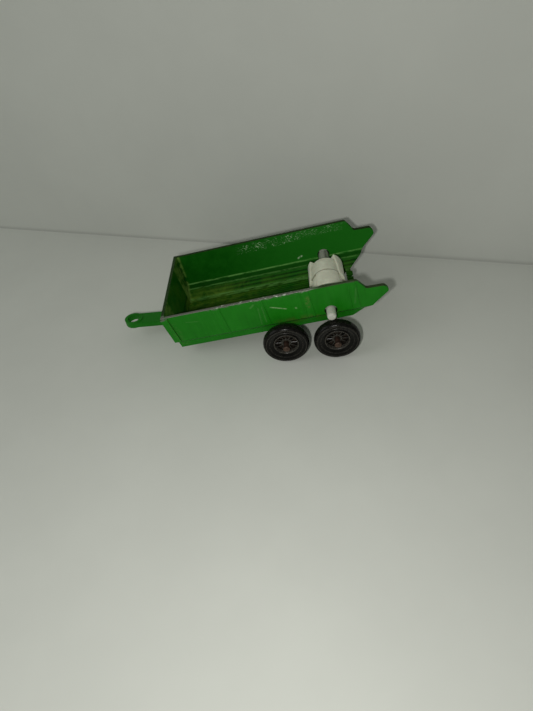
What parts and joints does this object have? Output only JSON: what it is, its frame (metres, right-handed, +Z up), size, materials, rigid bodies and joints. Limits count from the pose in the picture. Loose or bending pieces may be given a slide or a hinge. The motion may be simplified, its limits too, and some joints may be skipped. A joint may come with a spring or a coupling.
{
  "type": "toy manure spreader trailer",
  "caption": "Small die-cast toy farm trailer: open-tailed tapered tub on tandem spoked wheels, drawbar with an eye, and a beater drum turned by the rear tyres.",
  "frame": {"origin": "on the ground, under the middle of the bounding box of the whole trailer", "axes": "+X points to the open tail and -X to the drawbar eye, +Y to the right-hand side for someone at the tail looking towards the drawbar, +Z up; the wheels stand on Z = 0"},
  "size_m": [0.0658, 0.0336, 0.0206],
  "materials": {
    "green_paint": "worn satin enamel",
    "black_plastic": "moulded, slightly glossy",
    "cream_plastic": "moulded, aged white",
    "worn_steel": "tarnished brown",
    "bare_zinc": "dull grey"
  },
  "bodies": {
    "trailer_body": {"tub": "green_paint", "axle_base": "green_paint", "front_rivet": "bare_zinc", "rear_rivet": "bare_zinc"},
    "front_axle": {"front_axle": "worn_steel"},
    "rear_axle": {"rear_axle": "worn_steel"},
    "front_left_wheel": {"front_left_wheel": "black_plastic"},
    "front_right_wheel": {"front_right_wheel": "black_plastic"},
    "rear_left_wheel": {"rear_left_wheel": "black_plastic"},
    "rear_right_wheel": {"rear_right_wheel": "black_plastic"},
    "beater": {"beater_drum": "cream_plastic", "beater_shaft": "cream_plastic"}
  },
  "joints": [
    {"name": "front_axle_spin", "type": "hinge", "parent": "trailer_body", "child": "front_axle", "pos_m": [0.0092, 0, 0.0055], "axis": [0, 1, 0], "continuous": true},
    {"name": "rear_axle_spin", "type": "hinge", "parent": "trailer_body", "child": "rear_axle", "pos_m": [0.02121, 0, 0.0055], "axis": [0, 1, 0], "continuous": true},
    {"name": "front_left_wheel_spin", "type": "hinge", "parent": "trailer_body", "child": "front_left_wheel", "pos_m": [0.0092, 0, 0.0055], "axis": [0, 1, 0], "continuous": true},
    {"name": "front_right_wheel_spin", "type": "hinge", "parent": "trailer_body", "child": "front_right_wheel", "pos_m": [0.0092, 0, 0.0055], "axis": [0, 1, 0], "continuous": true},
    {"name": "beater_spin", "type": "hinge", "parent": "trailer_body", "child": "beater", "pos_m": [0.02014, 0, 0.01206], "axis": [0, 1, 0], "continuous": true},
    {"name": "rear_left_wheel_spin", "type": "hinge", "parent": "trailer_body", "child": "rear_left_wheel", "pos_m": [0.02121, 0, 0.0055], "axis": [0, 1, 0], "continuous": true},
    {"name": "rear_right_wheel_spin", "type": "hinge", "parent": "trailer_body", "child": "rear_right_wheel", "pos_m": [0.02121, 0, 0.0055], "axis": [0, 1, 0], "continuous": true}
  ],
  "couplings": [
    {"joint": "rear_left_wheel_spin", "follows": "beater_spin", "ratio": -0.19636},
    {"joint": "rear_right_wheel_spin", "follows": "beater_spin", "ratio": -0.19636}
  ]
}
